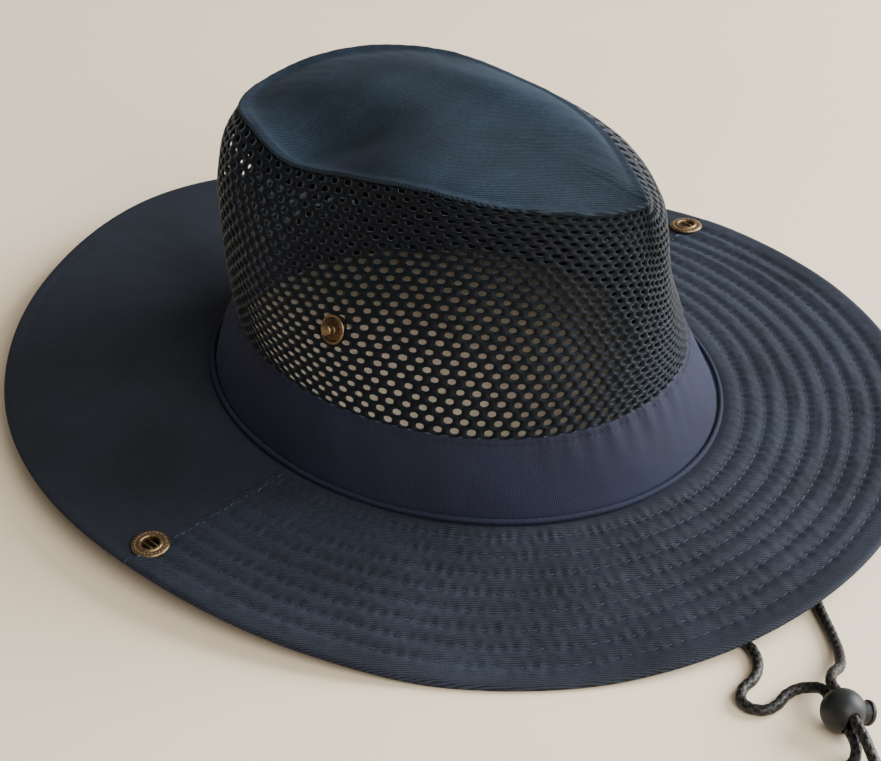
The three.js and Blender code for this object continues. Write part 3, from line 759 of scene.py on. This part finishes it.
def seamStitches():
    # a row of topstitching on the quilted side of each seam between the brim's halves
    made = []
    for seam, off in ((brim["nearSeam"], 1.0), (brim["farSeam"] + 360, -1.0)):
        last = tableAt("brimWidth", np.array(seam)) - seamStitch["end"]
        outward = np.arange(seamStitch["end"], last, seamStitch["pitch"])
        angle = seam + off * np.degrees(seamStitch["offSeam"] / (hat["foot"]["halfWidth"] + outward))
        middle = onBrimTop(angle, outward, quiltRelief)
        ahead = onBrimTop(angle, outward + 0.5, quiltRelief)
        beside = onBrimTop(angle + 0.3, outward, quiltRelief)
        along, normal = clothFrame(middle, ahead, beside)
        made.append(stitchRow(middle, along, normal, seamStitch))
    return made


joinStitches("seamStitches", seamStitches(), thread, "brim_twill")
print("brim done")

# The band and the welt at its foot
band = {"wall": 1.8, "columns": 720, "rows": 26, "gather": 0.5, "gatherAngle": 285.0, "slack": 0.8,
        "seamShare": 0.93, "runRadius": 95.0, "patternLength": 0.6}
bandStitch = {"length": 2.0, "thickness": 0.32, "lift": 0.05, "count": 176}


def onBand(angle, share, depth):
    # a point of the band's wall, which narrows from the brim up to the net; depth is into the wall
    low, high = hat["foot"], hat["bandTop"]
    oval = {key: low[key] + (high[key] - low[key]) * share for key in ("halfWidth", "halfLength", "shift")}
    x, y = onOval(oval, angle, -depth)
    height = low["height"] + 0.3 + (high["height"] - low["height"] - 0.45) * share
    return stack(x, y, height)


def bandRelief(angle, share):
    # small gathers that fade down from the top edge, a slack belly, and cloth drawn in at the stitches
    run = np.radians(angle) * band["runRadius"]
    middle = band["gatherAngle"]
    near = np.exp(-((angle - middle) / 40.0) ** 2) + np.exp(-((angle - (middle - 360)) / 40.0) ** 2)
    gather = band["gather"] * soft(run, share * 12.0, 21, 13.0) * share**2 * (0.5 + near)
    slack = band["slack"] * soft(run, share * 20.0, 22, 60.0) * np.sin(math.pi * share)
    slack = slack + 0.3 * soft(run, share * 9.0, 23, 21.0) * np.sin(math.pi * share)
    lean = 0.45 * np.sin(math.pi * share)
    edge = np.exp(-((share - band["seamShare"]) / 0.035) ** 2)
    edge = 0.25 * edge * (1 + 0.7 * np.cos(2 * math.pi * run / 3.4))
    return gather + slack + lean - edge


def makeBand():
    # up the outside, over the lip and down the inside, carried round
    angle = np.linspace(0, 360, band["columns"], endpoint=False)[None, :]
    share = np.linspace(0, 1, band["rows"])[:, None]
    outside = onBand(angle, share, -bandRelief(angle, share))
    lip = onBand(angle, np.array([[1.0]]), band["wall"] / 2 - bandRelief(angle, np.array([[1.0]])))
    lip = lip + np.array([0, 0, 0.35])
    inside = onBand(angle, share[::-1], band["wall"] - bandRelief(angle, share[::-1]) * 0.8)
    points = np.concatenate([outside, lip, inside])
    return loopPiece("crownBand", points, bandCloth, "band_twill", band["patternLength"],
                     nodes=("crown_band",))


makeBand()
welt = {"radius": 0.95, "out": 1.2}


def makeWelt():
    # a thin cord of cloth in the corner of band and brim, with a faint twist
    angle = np.linspace(0, 360, 900, endpoint=False)[None, :]
    turn = np.linspace(0, 2 * math.pi, 12, endpoint=False)[:, None]
    run = np.radians(angle) * band["runRadius"]
    radius = welt["radius"] * (1 + 0.05 * np.cos(2 * math.pi * run / 2.6 + turn))
    lift = 0.12 * soft(run, run * 0, 31, 40.0)
    x, y = onOval(hat["foot"], angle, welt["out"] + radius * np.cos(turn) * 0.95)
    z = hat["foot"]["height"] + welt["out"] + lift + radius * np.sin(turn)
    return loopPiece("bandWelt", stack(x, y, z), bandCloth, "band_twill", band["patternLength"],
                     nodes=("band_welt",))


makeWelt()


def bandStitches():
    # the seam's stitches, in a row round the top of the band
    angle = np.linspace(0, 360, bandStitch["count"], endpoint=False)
    share = np.full_like(angle, band["seamShare"])
    middle = onBand(angle, share, -bandRelief(angle, share))
    along = unit(onBand(angle + 0.4, share, 0) - onBand(angle - 0.4, share, 0))
    up = unit(onBand(angle, share + 0.05, 0) - onBand(angle, share - 0.05, 0))
    normal = np.cross(along, up)
    return [stitchRow(middle, along, normal, bandStitch)]


joinStitches("bandStitches", bandStitches(), bandThread, "band_twill")
print("band done")

# The top panel and the net
top = {
    "wall": 1.5,
    "halfWidth": 47.0,
    "halfLength": 92.0,
    "shift": 9.0,
    "square": 3.0,
    "frontEnd": 0.85,
    "backEnd": 0.5,
    "farPinch": 0.6,
    "pinchPower": 3.2,
    "dome": 122.3,
    "domePower": 2.2,
    "frontFlat": 0.5,
    "frontHeight": 116.6,
    "rimFlat": 2.4,
    "rimPower": 14,
    "runRadius": 75.0,
    "pucker": 0.22,
    "crease": 0.55,
}
# Where the panel is pressed in or stands up, from the crown's middle
dents = [
    {"x": -28.0, "y": 43.0, "rise": -8.5, "halfWidth": 16.0, "halfLength": 28.0},
    {"x": 24.0, "y": 8.0, "rise": 2.2, "halfWidth": 10.0, "halfLength": 40.0},
]


def onPanelEdge(angle, share):
    # a long oval whose ends narrow by the powers backEnd and frontEnd, drawn in at the front's far side
    c, s = np.cos(np.radians(angle)), np.sin(np.radians(angle))
    end = np.where(s > 0, top["backEnd"], top["frontEnd"])
    pinch = np.where(c > 0, top["farPinch"] * ((1 - s) / 2) ** top["pinchPower"], 0)
    across = (1 - pinch) * np.maximum(0, 1 - np.abs(s) ** top["square"]) ** end
    x = hat["middle"][0] + share * top["halfWidth"] * np.sign(c) * across
    y = hat["middle"][1] + top["shift"] + share * top["halfLength"] * s
    return x, y


def onPanel(angle, share):
    # the panel's top: a dome over the seam, with its dents, and a rolled edge
    x, y = onPanelEdge(angle, share)
    edge = tableAt("seamHeight", angle)
    inward = np.minimum(1, share / (1 - top["rimFlat"] / top["halfWidth"]))
    fade = 1 - inward ** top["rimPower"]
    across = (x - hat["middle"][0]) / top["halfWidth"]
    along = (y - hat["middle"][1] - top["shift"]) / top["halfLength"]
    across = across * (1 - top["frontFlat"] * np.clip(-along, 0, 1))
    away = np.minimum(1, np.hypot(across, along))
    edge = edge + (top["frontHeight"] - edge) * (1 - away**4) * np.sqrt(np.clip(-along, 0, 1))
    height = edge + (top["dome"] - top["wall"] - edge) * (1 - away ** top["domePower"]) * fade
    for dent in dents:
        across = (x - hat["middle"][0] - dent["x"]) / dent["halfWidth"]
        along = (y - hat["middle"][1] - dent["y"]) / dent["halfLength"]
        height = height + dent["rise"] * fade * np.exp(-(across**2) - along**2)
    height = height + 0.5 * soft(x, y, 41, 55.0) * fade
    run = np.radians(angle) * top["runRadius"]
    pucker = top["pucker"] * soft(run, run * 0, 42, 8.0) * np.exp(-(((1 - share) / 0.09) ** 2))
    farSide = 0.5 + 0.5 * np.cos(np.radians(angle - 10.0))
    crease = top["crease"] * farSide * soft(run, share * 20.0, 43, 17.0)
    crease = crease * np.exp(-(((0.84 - share) / 0.16) ** 2))
    return stack(x, y, height + top["wall"] + pucker + crease * fade)


def makeTop():
    # the outside from the middle to the edge, the lip, and the inside back, closed at both poles
    angle = np.linspace(0, 360, 420, endpoint=False)[None, :]
    share = (np.linspace(0.004, 1, 70) ** 0.8)[:, None]
    outside = onPanel(angle, share)
    x, y = onPanelEdge(angle, 1.006)
    lip = stack(x, y, tableAt("seamHeight", angle) + top["wall"] / 2)
    inside = onPanel(angle, share[::-3]) - np.array([0, 0, top["wall"]])
    points = np.concatenate([outside, lip, inside])
    faces = tubeFaces(*points.shape[:2], flip=True)
    return makePiece("crownTop", points, faces, None, topCloth, "top_twill", nodes=("crown_top",))


makeTop()
net = {"pitches": 90, "rows": 28, "holeAcross": 0.27, "holeUp": 0.355, "corner": 0.64, "wall": 1.0,
       "wander": 0.1, "slack": 0.9, "fineSlack": 0.35, "runRadius": 85.0, "strandOut": 0.1,
       "holeIn": 0.22, "holeBack": 0.3}


def onNet(angle, share, depth):
    # from the band's top to the panel's edge, bulging between them; depth is into the wall
    lowX, lowY = onOval(hat["bandTop"], angle, 0)
    highX, highY = onPanelEdge(angle, 1.0)
    outX, outY = onOval(hat["bandTop"], angle, 1.0)
    low = hat["bandTop"]["height"] + 0.15
    high = tableAt("seamHeight", angle) - 0.3
    run = np.radians(angle) * net["runRadius"]
    slack = net["slack"] * soft(run, share * 75.0, 51, 48.0)
    slack = slack + net["fineSlack"] * soft(run, share * 75.0, 52, 19.0)
    bulge = (tableAt("bulge", angle) + slack) * np.sin(math.pi * share) - depth
    bulge = bulge + tableAt("shoulder", angle) * np.sin(math.pi * share**4)
    x = lowX + (highX - lowX) * share + bulge * (outX - lowX)
    y = lowY + (highY - lowY) * share + bulge * (outY - lowY)
    return stack(x, y, low + (high - low) * share)


def makeNet():
    # one staggered cell of net, ten corners round a long hole, repeated and joined along its edges
    a, b = net["corner"], 1 - net["corner"]
    rim = np.array([[0, a], [-0.25, 0.5], [-0.5, b], [-0.5, -b], [-0.25, -0.5],
                    [0, -a], [0.25, -0.5], [0.5, -b], [0.5, b], [0.25, 0.5]])
    turn = np.arctan2(rim[:, 1], rim[:, 0] * 1.6)
    hole = np.stack([net["holeAcross"] * np.cos(turn), net["holeUp"] * np.sin(turn)], 1)
    column, row = np.meshgrid(np.arange(net["pitches"]), np.arange(net["rows"]))
    column, row = column.ravel(), row.ravel()
    middle = np.stack([column + 0.5 * (row % 2), row + 0.5], 1)
    shake = chance.normal(0, 0.02, (len(middle), 1, 2))
    size = 1 + chance.normal(0, 0.05, (len(middle), 1, 1))
    outer = middle[:, None] + rim[None]
    outer[..., 1] = np.clip(outer[..., 1], 0, net["rows"])
    inner = middle[:, None] + shake + hole[None] * size
    cells, corners = len(middle), len(rim)
    keys = np.round(outer * 20).astype(int)
    keys[..., 0] %= net["pitches"] * 20
    flat = keys.reshape(-1, 2)
    _, first, shared = np.unique(flat, axis=0, return_index=True, return_inverse=True)
    shared = shared.reshape(-1)
    shape = outer.reshape(-1, 2)[first]
    edges = len(shape)

    def place(grid, depth):
        # the rows of holes wander up and down round the crown, as the net was cut on a curve
        turn, share = 2 * math.pi * grid[:, 0] / net["pitches"], grid[:, 1] / net["rows"]
        share = share + net["wander"] * np.sin(2 * turn) * np.sin(math.pi * share)
        return onNet(np.degrees(turn), share, depth)

    rimOut, rimIn = place(shape, -net["strandOut"]), place(shape, net["wall"])
    holes = inner.reshape(-1, 2)
    holeOut, holeIn = place(holes, net["holeIn"]), place(holes, net["wall"] - net["holeBack"])
    points = np.concatenate([rimOut, rimIn, holeOut, holeIn])
    rimIndex = shared.reshape(cells, corners)
    holeIndex = np.arange(cells * corners).reshape(cells, corners)
    on, onNext = rimIndex, np.roll(rimIndex, -1, 1)
    at, atNext = holeIndex + 2 * edges, np.roll(holeIndex, -1, 1) + 2 * edges
    deep = cells * corners
    outside = np.stack([on, onNext, atNext, at], -1)
    wall = np.stack([at, atNext, atNext + deep, at + deep], -1)
    inside = np.stack([at + deep, atNext + deep, onNext + edges, on + edges], -1)
    faces = np.concatenate([outside.reshape(-1, 4), wall.reshape(-1, 4), inside.reshape(-1, 4)])
    quads = faces.tolist()
    # the bottom and top edges are closed between the two skins
    for height in (0.0, float(net["rows"])):
        ring = np.where(np.abs(shape[:, 1] - height) < 1e-6)[0]
        ring = ring[np.argsort(np.mod(shape[ring, 0], net["pitches"]))]
        nextRing = np.roll(ring, -1)
        strip = np.stack([ring, ring + edges, nextRing + edges, nextRing], -1)
        quads += (strip if height == 0.0 else strip[:, ::-1]).tolist()
    return makePiece("crownNet", points, quads, None, netYarn, "net", nodes=("crown_net",))


makeNet()


def makeSeamTape():
    # the dark seam allowance behind the top rows of the net, a thin closed strip
    angle = np.linspace(0, 360, 360, endpoint=False)[None, :]
    share = np.array([[0.915], [0.915], [0.955], [0.992], [0.992], [0.955]])
    depth = net["wall"] + np.array([[0.55], [0.2], [0.15], [0.15], [0.5], [0.5]])
    points = onNet(angle, share, depth)
    return loopPiece("seamTape", points, tapeCloth, "top_twill", 0.5)


makeSeamTape()
print("crown done")

# Snaps and studs
snap = {"nearLean": 0.11, "fromEdge": 12.0, "rim": 6.9, "cap": 6.1, "shank": 2.3, "socket": 3.2,
        "springOff": 1.1, "springHeight": 0.95, "springHalf": 2.75, "springRadius": 0.22,
        "dots": 26, "dotSize": 0.4, "dotsIn": 1.35}
stud = {"turn": 4.5, "share": 0.37, "disc": 5.4, "cap": 5.0, "shank": 1.9, "post": 2.2, "height": 4.6,
        "back": 1.7}
dot = {"sides": 8, "rings": [[1.0, -0.1], [0.8, 0.55], [0.35, 0.9]]}


def cadBrim(angle, outward):
    # the brim's top without its relief
    x, y = onOval(hat["foot"], angle, outward)
    return np.array([float(x), float(y), float(brimUnderside(angle, outward)) + brim["thickness"]])


def beadRing(name, radius, count, height, size, place, finish, slotName):
    # a plain ring of small raised dots, low domes on the face of a snap
    turn = np.arange(count) / count * 2 * math.pi
    centres = np.stack([radius * np.cos(turn), radius * np.sin(turn), np.full(count, height)], 1)
    rings, sides = np.array(dot["rings"]), dot["sides"]
    spin = np.arange(sides) / sides * 2 * math.pi
    wide, high = rings[:, 0, None], rings[:, 1, None]
    points = centres[:, None, None, :] + stack(wide * np.cos(spin), wide * np.sin(spin), high) * size
    points = points.reshape(-1, 3) @ place[:3, :3].T + place[:3, 3]
    one = tubeFaces(len(rings), sides)
    each = len(rings) * sides
    faces = [[corner + k * each for corner in face] for k in range(count) for face in one]
    return makePiece(name, points, faces, None, finish, slotName)


def makeSnap(side, angle):
    # a cap under the brim, a shank through it and a rimmed socket on top, turned as one profile, with
    # a floor painted dark as the shade in the socket, two spring wires across it and dots round its face
    outward = tableAt("brimWidth", np.array(float(angle))) - snap["fromEdge"]
    place = cadBrim(angle, outward)
    along = cadBrim(angle + 3, outward) - cadBrim(angle - 3, outward)
    out = cadBrim(angle, outward + 4) - cadBrim(angle, outward - 4)
    if side == "near":
        out = out - np.array([0, 0, 8 * snap["nearLean"]])
    matrix = standing(place, np.cross(out, along), out)
    under = -brim["thickness"] - 0.3
    profile = [
        (0.05, under - 1.6), (0.6 * snap["cap"], under - 1.4), (0.92 * snap["cap"], under - 0.8),
        (snap["cap"], under), (snap["shank"], under), (snap["shank"], 0.2), (snap["rim"] - 0.3, 0.15),
        (snap["rim"], 0.5), (snap["rim"] - 0.15, 1.1), (snap["rim"] - 0.9, 1.5),
        (snap["socket"] + 1.4, 1.4), (snap["socket"] + 1.0, 1.95), (snap["socket"] + 0.35, 1.95),
        (snap["socket"], 1.5), (snap["socket"], 0.1), (0.05, 0.1),
    ]
    turnedPiece("brimSnap" + side.title(), roundProfile(profile, 0.25), 64, matrix, brass, "brass",
                nodes=("brim_snap_" + side,))
    # the socket's floor is painted dark as the shade inside the socket
    floorProfile = [(0.05, 0.1), (snap["socket"] - 0.03, 0.1), (snap["socket"] - 0.03, 0.3), (0.05, 0.3)]
    turnedPiece("snapSocketShade" + side.title(), floorProfile, 40, matrix, paintedSocketShade, "brass")
    half, thick = snap["springHalf"], snap["springRadius"]
    spring = [(0.05, -half), (thick, -half), (thick, half), (0.05, half)]
    sideways, lengthways, up, middle = matrix[:3, 0], matrix[:3, 1], matrix[:3, 2], matrix[:3, 3]
    for across in (-snap["springOff"], snap["springOff"]):
        foot = middle + sideways * across + up * snap["springHeight"]
        bar = standing(foot, lengthways, sideways)
        turnedPiece("snapSpring" + side.title(), spring, 12, bar, brass, "brass")
    beadRing("snapDots" + side.title(), snap["rim"] - snap["dotsIn"], snap["dots"], 1.4, snap["dotSize"],
             matrix, brass, "brass")


def makeStud(side, angle):
    # a cap inside the net, a shank through it, and a disc with a post outside, turned as one profile,
    # with a darker dish on the disc
    def place(turn, rise):
        return onNet(np.array(float(angle + turn)), stud["share"] + rise, 0.0)

    along = place(2, 0) - place(-2, 0)
    upward = place(0, 0.06) - place(0, -0.06)
    matrix = standing(place(0, 0), np.cross(along, upward), along)
    within = -stud["back"]
    profile = [
        (0.05, within - 1.1), (0.8 * stud["cap"], within - 1), (stud["cap"], within - 0.5),
        (stud["cap"], within), (stud["shank"], within), (stud["shank"], 0.3), (stud["disc"] - 0.2, 0.3),
        (stud["disc"], 0.6), (0.93 * stud["disc"], 1.05), (0.8 * stud["disc"], 0.85),
        (0.62 * stud["disc"], 1.1), (0.8 * stud["post"], 1.3), (0.8 * stud["post"], 0.6 * stud["height"]),
        (stud["post"], 0.8 * stud["height"]), (0.85 * stud["post"], 0.97 * stud["height"]),
        (0.05, stud["height"]),
    ]
    turnedPiece("crownStud" + side.title(), roundProfile(profile, 0.25), 56, matrix, brass, "brass",
                nodes=("crown_stud_" + side,))
    dish = [(0.05, 1.0), (0.84 * stud["disc"], 0.7), (0.84 * stud["disc"], 1.0), (0.6 * stud["disc"], 1.14),
            (0.45 * stud["disc"], 1.3), (0.05, 1.4)]
    turnedPiece("studDish" + side.title(), dish, 48, matrix, agedBrass, "brass")


for side, snapAngle, studAngle in (
    ("near", brim["nearSeam"], 180 + stud["turn"]),
    ("far", brim["farSeam"], stud["turn"]),
):
    makeSnap(side, snapAngle)
    makeStud(side, studAngle)
print("snaps done")

# The floor and the light
light = {
    "window": {"place": (1.6, -1.02, 0.84), "size": 1.6, "watts": 122, "colour": (0.92, 0.96, 1.0)},
    "fill": {"place": (-0.3, -1.35, 1.0), "size": 1.2, "watts": 27, "colour": (1.0, 0.97, 0.93)},
    "roomSide": (0.66, -0.74, 0.1),
    "roomColour": (1.0, 0.94, 0.87, 1.0),
    "roomMean": 0.38,
    "roomSwing": 0.16,
}


def makeLight(name, facts):
    # a round area light that faces the hat
    data = bpy.data.lights.new(name, "AREA")
    data.shape = "DISK"
    data.size = facts["size"]
    data.energy = facts["watts"]
    data.color = facts["colour"]
    lamp = bpy.data.objects.new(name, data)
    bpy.context.collection.objects.link(lamp)
    back = unit(np.array(facts["place"]) - np.array([0.0, 0.0, 0.05]))
    lamp.matrix_world = Matrix(standing(np.array(facts["place"]), back, np.array([0.3, 1.0, 0.1])).tolist())


def makeFloor():
    mesh = bpy.data.meshes.new("floor")
    mesh.from_pydata([(-8, -8, 0), (8, -8, 0), (8, 8, 0), (-8, 8, 0)], [], [(0, 1, 2, 3)])
    floor = bpy.data.objects.new("floor", mesh)
    mesh.materials.append(simpleMaterial("paleFloor", colour(253, 231, 199), colour(255, 237, 208), 2.0, 0.62,
                                         relief=0.02))
    bpy.context.collection.objects.link(floor)


def makeWorld():
    # a plain room, brighter on the side of its window
    world = bpy.data.worlds.new("world")
    world.use_nodes = True
    tree = world.node_tree
    sky = tree.nodes["Background"]
    sky.inputs["Color"].default_value = light["roomColour"]
    way = node(tree, "ShaderNodeTexCoord")
    toSide = node(tree, "ShaderNodeVectorMath", operation="DOT_PRODUCT")
    link(tree, way.outputs["Generated"], toSide.inputs[0])
    toSide.inputs[1].default_value = light["roomSide"]
    strength = maths(tree, "MULTIPLY_ADD", toSide.outputs["Value"], light["roomSwing"], light["roomMean"])
    link(tree, strength, sky.inputs["Strength"])
    bpy.context.scene.world = world


makeFloor()
makeWorld()
makeLight("window", light["window"])
makeLight("fill", light["fill"])
print("light done")
